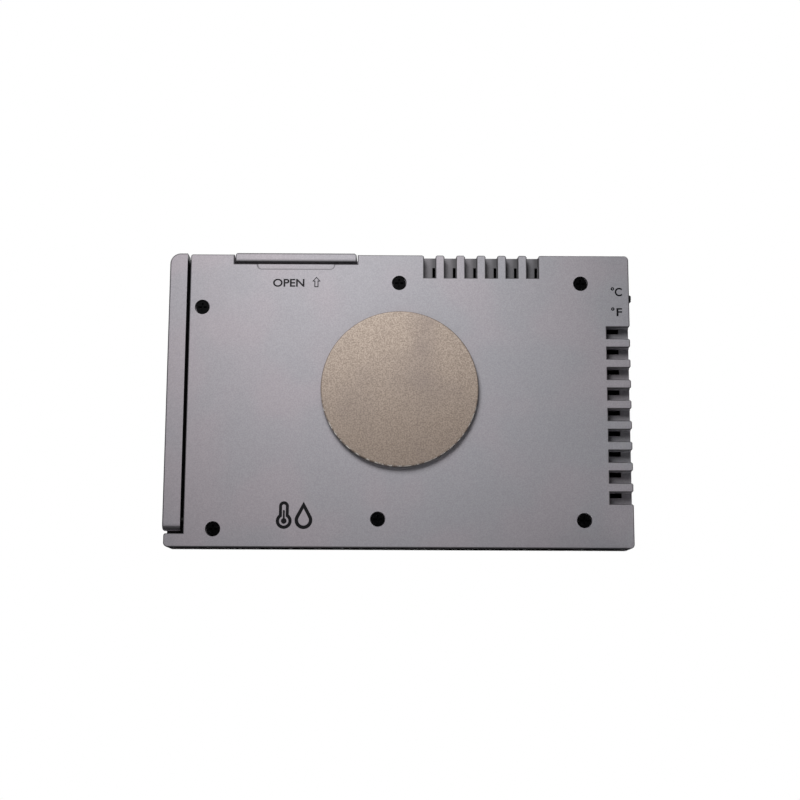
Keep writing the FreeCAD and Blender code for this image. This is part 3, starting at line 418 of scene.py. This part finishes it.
# Painted reflection: a soft darker patch right of centre, over a random smear.
reflection_patch = disc.fade(disc.maths("ABSOLUTE", side - REFLECTION_X), REFLECTION_HALF, 0.0)
reflection_patch = reflection_patch * disc.fade(height, 0.021, 0.034)
plate = disc.blend(0.22 * smear + 0.30 * reflection_patch, plate, PLATE_SMEAR_AND_REFLECTION)
disc_facing = disc.axes("Normal")[1]
rim = disc.fade(disc_facing, 0.985, 0.75)
wall = disc.fade(disc_facing, 0.45, 0.20)
# Painted highlights on the lower rim, broken up by noise.
highlight_breaks = disc.fade(disc.grain(0.0010, 2.0), 0.44, 0.56)
low_rim = disc.fade(height, disc_z, disc_z - 0.006)
# Painted shade on the upper rim and, below, on the side wall.
plate = disc.blend(rim * (1 - low_rim) * 0.55, plate, RIM_SHADE)
plate = disc.blend(rim * low_rim * (1 - wall) * highlight_breaks, plate, RIM_HIGHLIGHT)
plate = disc.blend(wall * 0.9, plate, WALL_SHADE)
disc_relief = disc.relief(disc.grain(0.00022, 3.0), 0.000015)
disc.close(disc.principled(plate, 0.55 - 0.15 * rim, disc_relief, Metallic=0.20))
disc.coat(nodes["magnet_disc"])

tape = finish("foam_tape")
cells = tape.grain(0.00015, 3.0)
tape_colour = tape.blend(cells, (0.62, 0.61, 0.58), (0.80, 0.79, 0.76))
tape.close(tape.principled(tape_colour, 0.85, tape.relief(cells, 0.00002)))
tape.coat(nodes["magnet_adhesive"], nodes["window_tape"])

# ---------------------------------------------------------------- coin cell
# A 20 mm lithium cell. The can and the cap are pressed from nickel-plated stainless steel, drawn
# in fine upright lines, with a nylon gasket between them and the pressed active mass inside.
LINE_STRETCH = 60.0
steel = finish("cell_steel")
x, y, z = steel.axes("Object")
drawn = steel.node("ShaderNodeCombineXYZ", {}, {0: x * LINE_STRETCH, 1: y, 2: z})
lines = steel.node("ShaderNodeTexNoise", {}, {"Vector": drawn, "Scale": 900.0, "Detail": 3.0})
steel_colour = steel.blend(lines, (0.56, 0.56, 0.56), (0.72, 0.72, 0.71))
steel.close(steel.principled(steel_colour, 0.22 + 0.16 * lines, Metallic=1.0))
steel.coat(nodes["coin_cell_can"], nodes["coin_cell_cap"], nodes["clock_crystal"])

nylon = finish("natural_nylon")
milk = nylon.grain(0.0008)
nylon_colour = nylon.blend(milk, (0.58, 0.56, 0.50), (0.70, 0.69, 0.63))
nylon.close(nylon.principled(nylon_colour, 0.45 + 0.1 * milk))
nylon.coat(nodes["coin_cell_gasket"], nodes["lcd_seal"])

mass = finish("pressed_mass")
crumbs = mass.grain(0.0002, 4.0)
mass_colour = mass.blend(crumbs, (0.02, 0.02, 0.021), (0.07, 0.07, 0.072))
mass.close(mass.principled(mass_colour, 0.9, mass.relief(crumbs, 0.00003)))
mass.coat(nodes["coin_cell_core"])

# ---------------------------------------------------------------- springs and switch
# Nickel-plated bronze leaves, soldered to the board. The slide switch is a tinned steel shell
# folded over a black moulding, with three legs. Its knob is moulded in black with ridges for the
# nail.
nickel = finish("nickel_plate")
haze = nickel.grain(0.0005, 3.0)
nickel_colour = nickel.blend(haze, (0.60, 0.57, 0.50), (0.76, 0.73, 0.66))
nickel.close(nickel.principled(nickel_colour, 0.2 + 0.2 * haze, Metallic=1.0))
nickel.coat(nodes["negative_contact"], nodes["positive_contact"],
            nodes["switch_shell"], nodes["switch_terminals"])

moulding = finish("black_moulding")
texture = moulding.grain(0.00012, 3.0)
moulding_colour = moulding.blend(texture, (0.010, 0.010, 0.011), (0.022, 0.022, 0.024))
moulding.close(moulding.principled(moulding_colour, 0.42 + 0.12 * texture,
                                   moulding.relief(texture, 0.00001)))
moulding.coat(nodes["switch_base"])

knob = finish("ridged_knob")
ridge_place = knob.node("ShaderNodeTexCoord", {}, {}, "Object")
ridges = knob.node("ShaderNodeTexWave", {"bands_direction": "Z"},
                   {"Vector": ridge_place, "Scale": 800.0}, "Fac")
# The grooves between the ridges are painted darker as shade.
knob_colour = knob.blend(ridges, (0.006, 0.006, 0.007), (0.018, 0.018, 0.019))
knob.close(knob.principled(knob_colour, 0.38 + 0.1 * ridges, knob.relief(ridges, 0.00008)))
knob.coat(nodes["switch_knob"])

# ---------------------------------------------------------------- display window
# Clear acrylic, printed black round the edge on its inside. It is stuck to the front cover with a
# frame of the same foam tape as the disc's.
BORDER = 0.004
window = finish("window_acrylic")
low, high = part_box("display_window")
x, _, z = window.axes("Object")
inside = window.fade(x, low.x + BORDER, low.x + BORDER + HAIR)
inside = inside * window.fade(x, high.x - BORDER, high.x - BORDER - HAIR)
inside = inside * window.fade(z, low.z + BORDER, low.z + BORDER + HAIR)
inside = inside * window.fade(z, high.z - BORDER, high.z - BORDER - HAIR)
ink_grain = window.grain(0.0004)
ink = window.principled(window.blend(ink_grain, (0.012, 0.012, 0.014), (0.018, 0.018, 0.020)), 0.08)
glaze = window.node("ShaderNodeBsdfGlossy", {}, {"Color": (1.0, 1.0, 1.0, 1.0), "Roughness": 0.04})
through = window.node("ShaderNodeBsdfTransparent", {}, {"Color": (0.97, 0.98, 0.98, 1.0)})
shine = window.node("ShaderNodeFresnel", {}, {"IOR": 1.49})
pane = window.node("ShaderNodeMixShader", {}, {0: shine * 0.8, 1: through, 2: glaze})
window.close(window.node("ShaderNodeMixShader", {}, {0: inside, 1: ink, 2: pane}))
window.coat(nodes["display_window"])

# ---------------------------------------------------------------- liquid-crystal display
# Two thin glass plates, a polariser in front and a silvered reflector behind, all in a white
# holder. A striped rubber strip joins it to the board. The front film is made to hide what lies
# behind it.
glass = finish("display_glass")
glass_clear = glass.node("ShaderNodeBsdfTransparent", {}, {"Color": (0.97, 0.99, 0.97, 1.0)})
glass_gloss = glass.node("ShaderNodeBsdfGlossy", {}, {"Color": (1.0, 1.0, 1.0, 1.0), "Roughness": 0.05})
gloss_share = 0.02 + 0.03 * glass.grain(0.004)
glass.close(glass.node("ShaderNodeMixShader", {}, {0: gloss_share, 1: glass_clear, 2: glass_gloss}))
glass.coat(nodes["lcd_front_glass"], nodes["lcd_rear_glass"])

film = finish("polariser_film")
film_haze = film.grain(0.003)
film_fine = film.grain(0.00016, 3.0)
film_colour = film.blend(film_haze, (0.360, 0.400, 0.340), (0.400, 0.440, 0.375))
film.close(film.principled(film_colour, 0.38 + 0.1 * film_haze, film.relief(film_fine, 0.000004)))
film.coat(nodes["front_polariser"])

mirror = finish("silvered_reflector")
frost = mirror.grain(0.00018, 3.0)
mirror_colour = mirror.blend(frost, (0.48, 0.53, 0.45), (0.58, 0.63, 0.54))
mirror.close(mirror.principled(mirror_colour, 0.55, mirror.relief(frost, 0.00001), Metallic=0.35))
mirror.coat(nodes["lcd_reflector"])

holder = finish("holder_plastic")
shade = holder.grain(0.002)
holder_colour = holder.blend(shade, (0.66, 0.66, 0.64), (0.76, 0.76, 0.74))
holder.close(holder.principled(holder_colour, 0.5 + 0.1 * shade))
holder.coat(nodes["lcd_holder"])

rubber = finish("striped_elastomer")
strip_place = rubber.node("ShaderNodeTexCoord", {}, {}, "Object")
stripes = rubber.node("ShaderNodeTexWave", {"bands_direction": "X"},
                      {"Vector": strip_place, "Scale": 1250.0}, "Fac")
rubber_colour = rubber.blend(stripes, (0.02, 0.02, 0.02), (0.75, 0.42, 0.40))
rubber.close(rubber.principled(rubber_colour, 0.6))
rubber.coat(nodes["zebra_connector"])

# ---------------------------------------------------------------- circuit board and its parts
# Green solder mask over copper tracks, a black resin drop over the controller, a watch crystal,
# a thermistor bead and a humidity element behind the side vents.
board = finish("green_board")
place = board.node("ShaderNodeTexCoord", {}, {}, "Object")
tracks = board.node("ShaderNodeTexVoronoi", {"distance": "MANHATTAN", "feature": "F2"},
                    {"Vector": place, "Scale": 420.0}, "Distance")
nearest = board.node("ShaderNodeTexVoronoi", {"distance": "MANHATTAN", "feature": "F1"},
                     {"Vector": place, "Scale": 420.0}, "Distance")
copper = board.fade(tracks - nearest, 0.16, 0.10)
board_colour = board.blend(copper, (0.010, 0.085, 0.035), (0.030, 0.165, 0.060))
board.close(board.principled(board_colour, 0.32, board.relief(copper, 0.00002)))
board.coat(nodes["circuit_board"])

resin = finish("black_resin")
swirl = resin.grain(0.0015)
resin_colour = resin.blend(swirl, (0.008, 0.008, 0.009), (0.018, 0.018, 0.019))
resin.close(resin.principled(resin_colour, 0.16 + 0.1 * swirl, resin.relief(swirl, 0.00005)))
resin.coat(nodes["controller_resin"], nodes["thermistor_bead"])

tinned = finish("tinned_wire")
dull = tinned.grain(0.0003)
tinned_colour = tinned.blend(dull, (0.55, 0.55, 0.55), (0.72, 0.72, 0.73))
tinned.close(tinned.principled(tinned_colour, 0.3 + 0.15 * dull, Metallic=1.0))
tinned.coat(nodes["crystal_leads"], nodes["thermistor_leads"], nodes["humidity_sensor_pins"])

ceramic = finish("sensor_ceramic")
clay = ceramic.grain(0.0004)
ceramic_colour = ceramic.blend(clay, (0.50, 0.44, 0.34), (0.66, 0.60, 0.50))
ceramic.close(ceramic.principled(ceramic_colour, 0.6 + 0.1 * clay))
ceramic.coat(nodes["humidity_sensor"], nodes["chip_capacitors"], nodes["chip_resistors"])

# ---------------------------------------------------------------- printed marks on the back
# Black pad-printed marks: the word for opening and its arrow under the tray's lip, the two degree
# letters beside the switch, and two plain pictograms low down, a thermometer and a drop. The cell
# has a plus etched into its can. Shapes are drawn in mm, and the marks' places are in mm too.
FILM = 0.00001
INK_DARK = (0.0045, 0.0045, 0.006)
INK_PITTED = (0.030, 0.030, 0.033)
ETCH_DARK = (0.16, 0.16, 0.16)
ETCH_LIGHT = (0.24, 0.24, 0.24)
PLUS_REACH = 1.5
PLUS_HALF = 0.22
PLUS_RISE = 0.006
back_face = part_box("rear_cover")[1].y
BACK_TURN = Matrix(((-1, 0, 0), (0, 0, 1), (0, 1, 0))).to_4x4()


def set_down(piece, turn, place):
    """Takes a flat piece drawn in mm, upright in XY, to its place on a face."""
    piece.data.transform(Matrix.Translation(place) @ turn @ Matrix.Scale(0.001, 4))
    piece.data.update()


def as_mesh(piece, name):
    """Makes a text or flat curve a mesh with sound walls."""
    bpy.ops.object.select_all(action="DESELECT")
    piece.select_set(True)
    bpy.context.view_layer.objects.active = piece
    bpy.ops.object.convert(target="MESH")
    piece = bpy.context.object
    piece.name = name
    bpy.ops.object.mode_set(mode="EDIT")
    bpy.ops.mesh.select_all(action="SELECT")
    bpy.ops.mesh.remove_doubles(threshold=0.0005)
    bpy.ops.mesh.normals_make_consistent(inside=False)
    bpy.ops.object.mode_set(mode="OBJECT")
    return piece


def lettering(name, words, width, height):
    """Plain sans lettering in mm, centred on the origin, at its printed width and height."""
    bpy.ops.object.text_add()
    piece = bpy.context.object
    piece.data.body = words
    piece.data.offset = 0.022
    piece.data.extrude = 0.5
    piece = as_mesh(piece, name)
    points = [corner.co for corner in piece.data.vertices]
    low = [min(point[axis] for point in points) for axis in range(3)]
    high = [max(point[axis] for point in points) for axis in range(3)]
    middle = Vector([(a + b) / 2 for a, b in zip(low, high)])
    stretch = Matrix.Diagonal((width / (high[0] - low[0]), height / (high[1] - low[1]),
                               2 * FILM * 1000 / (high[2] - low[2]), 1))
    piece.data.transform(stretch @ Matrix.Translation(-middle))
    return piece


def cut_out(name, loops):
    """A flat shape in mm from closed outlines. A loop inside another is a hole."""
    curve = bpy.data.curves.new(name, "CURVE")
    curve.dimensions = "2D"
    curve.fill_mode = "BOTH"
    curve.extrude = FILM * 1000
    for loop in loops:
        spline = curve.splines.new("POLY")
        spline.points.add(len(loop) - 1)
        for point, (across, up) in zip(spline.points, loop):
            point.co = (across, up, 0, 1)
        spline.use_cyclic_u = True
    piece = bpy.data.objects.new(name, curve)
    bpy.context.scene.collection.objects.link(piece)
    return as_mesh(piece, name)


def arc(across, up, radius, start, stop, steps=24):
    """Points along an arc, in degrees."""
    turns = [math.radians(start + (stop - start) * n / steps) for n in range(steps + 1)]
    return [(across + radius * math.cos(t), up + radius * math.sin(t)) for t in turns]


def arrow_loop(grow):
    """An up arrow, drawn larger or smaller by grow."""
    return [
        (0.0, 1.0 + grow * 1.3), (0.80 + grow * 1.9, 0.1 - grow), (0.38 + grow, 0.1 - grow),
        (0.38 + grow, -1.0 - grow), (-0.38 - grow, -1.0 - grow), (-0.38 - grow, 0.1 - grow),
        (-0.80 - grow * 1.9, 0.1 - grow),
    ]


def drop_loop(radius, tip):
    """A drop: a round belly below and a point above."""
    lean = math.degrees(math.asin(radius / tip))
    return arc(0, 0, radius, 180 - lean, 360 + lean, 40) + [(0, tip)]


def tube_loop(bulb, stem, top):
    """A thermometer's outline: a round bulb, and a stem with a round top."""
    lean = math.degrees(math.acos(stem / bulb))
    return arc(0, 0, bulb, 180 - lean, 360 + lean, 40) + arc(0, top - stem, stem, 0, 180, 16)


def circle(radius):
    """A circle of 24 points."""
    return arc(0, 0, radius, 0, 345, 23)


def plus_loop(reach, half):
    """A plus sign."""
    return [
        (half, reach), (-half, reach), (-half, half), (-reach, half), (-reach, -half), (-half, -half),
        (-half, -reach), (half, -reach), (half, -half), (reach, -half), (reach, half), (half, half),
    ]


marks = [
    (lettering("open_word", "OPEN", 5.90, 1.55), (20.90, 49.52)),
    (cut_out("open_arrow", [arrow_loop(0.0), arrow_loop(-0.17)]), (15.70, 49.70)),
    (lettering("celsius_letter", "C", 1.35, 1.62), (-40.98, 48.02)),
    (cut_out("celsius_ring", [circle(0.33), circle(0.11)]), (-39.87, 48.62)),
    (lettering("fahrenheit_letter", "F", 1.05, 1.55), (-41.08, 44.15)),
    (cut_out("fahrenheit_ring", [circle(0.33), circle(0.11)]), (-39.87, 44.75)),
    (cut_out("thermometer_sign", [tube_loop(1.45, 0.90, 3.60), tube_loop(0.85, 0.34, 3.02)]),
     (21.05, 4.80)),
    (cut_out("thermometer_fill", [tube_loop(0.52, 0.17, 2.0)]), (21.05, 4.80)),
    (cut_out("drop_sign", [drop_loop(1.62, 3.40), drop_loop(0.98, 2.15)]), (17.45, 4.95)),
]
low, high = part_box("coin_cell_can")
stamp = cut_out("cell_plus", [plus_loop(PLUS_REACH, PLUS_HALF)])
set_down(stamp, BACK_TURN, ((low.x + high.x) / 2, high.y, (low.z + high.z) / 2 + PLUS_RISE))
etched = finish("etched_steel")
bite = etched.grain(0.0002)
etched_colour = etched.blend(bite, ETCH_DARK, ETCH_LIGHT)
etched.close(etched.principled(etched_colour, 0.5 + 0.2 * bite, Metallic=1.0))
etched.coat(stamp)
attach(stamp, "battery_tray")

print_ink = finish("black_print")
pits = print_ink.fade(print_ink.grain(0.00012, 3.0), 0.62, 0.75)
print_colour = print_ink.blend(pits, INK_DARK, INK_PITTED)
print_ink.close(print_ink.principled(print_colour, 0.60 + 0.1 * pits, Specular_IOR_Level=0.15))
for mark, (place_x, place_z) in marks:
    set_down(mark, BACK_TURN, (place_x * 0.001, back_face, place_z * 0.001))
    print_ink.coat(mark)
    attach(mark, "case")

# ---------------------------------------------------------------- figures on the display
# Dark segments on the display's front film: the temperature large on the left, the humidity on the
# right, their units, a line between them and a row of comfort blocks. Shapes are drawn in mm.
LIT = {"2": "abged", "3": "abgcd", "4": "fgbc", "5": "afgcd"}
BAR = 0.98
LEAN = 0.09
SEGMENT_DEPTH = 0.04
LARGE = {"width": 5.6, "height": 13.0, "thick": 1.5}
SMALL = {"width": 4.4, "height": 9.6, "thick": 1.2}
BLOCK_WIDE, BLOCK_TALL, BLOCK_PITCH = 3.4, 1.5, 4.4
SEGMENT_DARK = (0.020, 0.026, 0.024)
SEGMENT_LIGHT = (0.032, 0.040, 0.036)
FIGURES_RISE = 0.0275
FRONT_TURN = Matrix(((1, 0, 0), (0, 0, -1), (0, 1, 0))).to_4x4()
film_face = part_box("front_polariser")[0].y


def bar(length, width):
    """One segment: a six-sided prism drawn out to its length, points at its ends."""
    bpy.ops.mesh.primitive_cylinder_add(vertices=6, radius=width / math.sqrt(3), depth=SEGMENT_DEPTH)
    piece = bpy.context.object
    bpy.ops.object.mode_set(mode="EDIT")
    bpy.ops.mesh.select_all(action="DESELECT")
    bpy.ops.object.mode_set(mode="OBJECT")
    stretch = length / 2 - width / math.sqrt(3)
    for corner in piece.data.vertices:
        corner.select = corner.co.y > 0
    bpy.ops.object.mode_set(mode="EDIT")
    bpy.ops.transform.translate(value=(0, stretch * 2, 0))
    bpy.ops.object.mode_set(mode="OBJECT")
    piece.data.transform(Matrix.Translation((0, -stretch, 0)))
    return piece


def digit(figure, width, height, thick):
    """The segments of one figure, leaning a little, centred on the origin."""
    half = height / 2
    spots = {
        "a": (0, half, True), "g": (0, 0, True), "d": (0, -half, True),
        "b": (width / 2, half / 2, False), "c": (width / 2, -half / 2, False),
        "f": (-width / 2, half / 2, False), "e": (-width / 2, -half / 2, False),
    }
    lean = Matrix(((1, LEAN, 0, 0), (0, 1, 0, 0), (0, 0, 1, 0), (0, 0, 0, 1)))
    made = []
    for name in LIT[figure]:
        across, up, flat = spots[name]
        piece = bar((width if flat else half) * BAR, thick)
        turn = Matrix.Rotation(math.radians(90), 4, "Z") if flat else Matrix.Identity(4)
        piece.data.transform(lean @ Matrix.Translation((across, up, 0)) @ turn)
        made.append(piece)
    return made


def gather(name, pieces):
    """Joins pieces into one."""
    bpy.ops.object.select_all(action="DESELECT")
    for piece in pieces:
        piece.select_set(True)
    bpy.context.view_layer.objects.active = pieces[0]
    bpy.ops.object.join()
    bpy.context.object.name = name
    return bpy.context.object


def dot(radius):
    """A round point."""
    return cut_out("point", [circle(radius)])


def shifted(pieces, across, up):
    """Moves pieces sideways and up in their own plane."""
    for piece in pieces:
        piece.data.transform(Matrix.Translation((across, up, 0)))
    return pieces


temperature = shifted(digit("2", **LARGE), -22.5, 0) + shifted(digit("3", **LARGE), -13.0, 0)
temperature += shifted([dot(0.75)], -8.4, -6.5) + shifted(digit("4", **SMALL), -4.2, -1.7)
humidity = shifted(digit("4", **LARGE), 10.6, 0) + shifted(digit("5", **LARGE), 20.1, 0)
units = shifted([lettering("unit_a", "°C", 3.6, 2.7)], -3.4, 6.0)
units += shifted([lettering("unit_b", "%", 2.6, 2.6)], 26.6, -5.2)
line = shifted([cut_out("line", [[(-0.09, -9.0), (0.09, -9.0), (0.09, 9.0), (-0.09, 9.0)]])], 3.2, 0)
corners = ((-1, -1), (1, -1), (1, 1), (-1, 1))
outline = [(BLOCK_WIDE / 2 * a, BLOCK_TALL / 2 * b) for a, b in corners]
hole = [(a * 0.84, b * 0.66) for a, b in outline]
blocks = []
for n in range(5):
    loops = [outline] if n == 2 else [outline, hole]
    blocks += shifted([cut_out("block", loops)], BLOCK_PITCH * (n - 2), -12.6)
small_tube = cut_out("small_tube", [tube_loop(0.95, 0.55, 3.0), tube_loop(0.6, 0.2, 2.65)])
small_drop = cut_out("small_drop", [drop_loop(1.0, 2.3)])
signs = shifted([small_tube], -26.3, 9.4) + shifted([small_drop], 6.6, 9.6)
segments = gather("display_figures", temperature + humidity + units + line + blocks + signs)
set_down(segments, FRONT_TURN, (0, film_face - 0.0005 * SEGMENT_DEPTH, FIGURES_RISE))
dark = finish("dark_segments")
edge_soft = dark.grain(0.0006)
dark.close(dark.principled(dark.blend(edge_soft, SEGMENT_DARK, SEGMENT_LIGHT), 0.4))
dark.coat(segments)
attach(segments, "case")
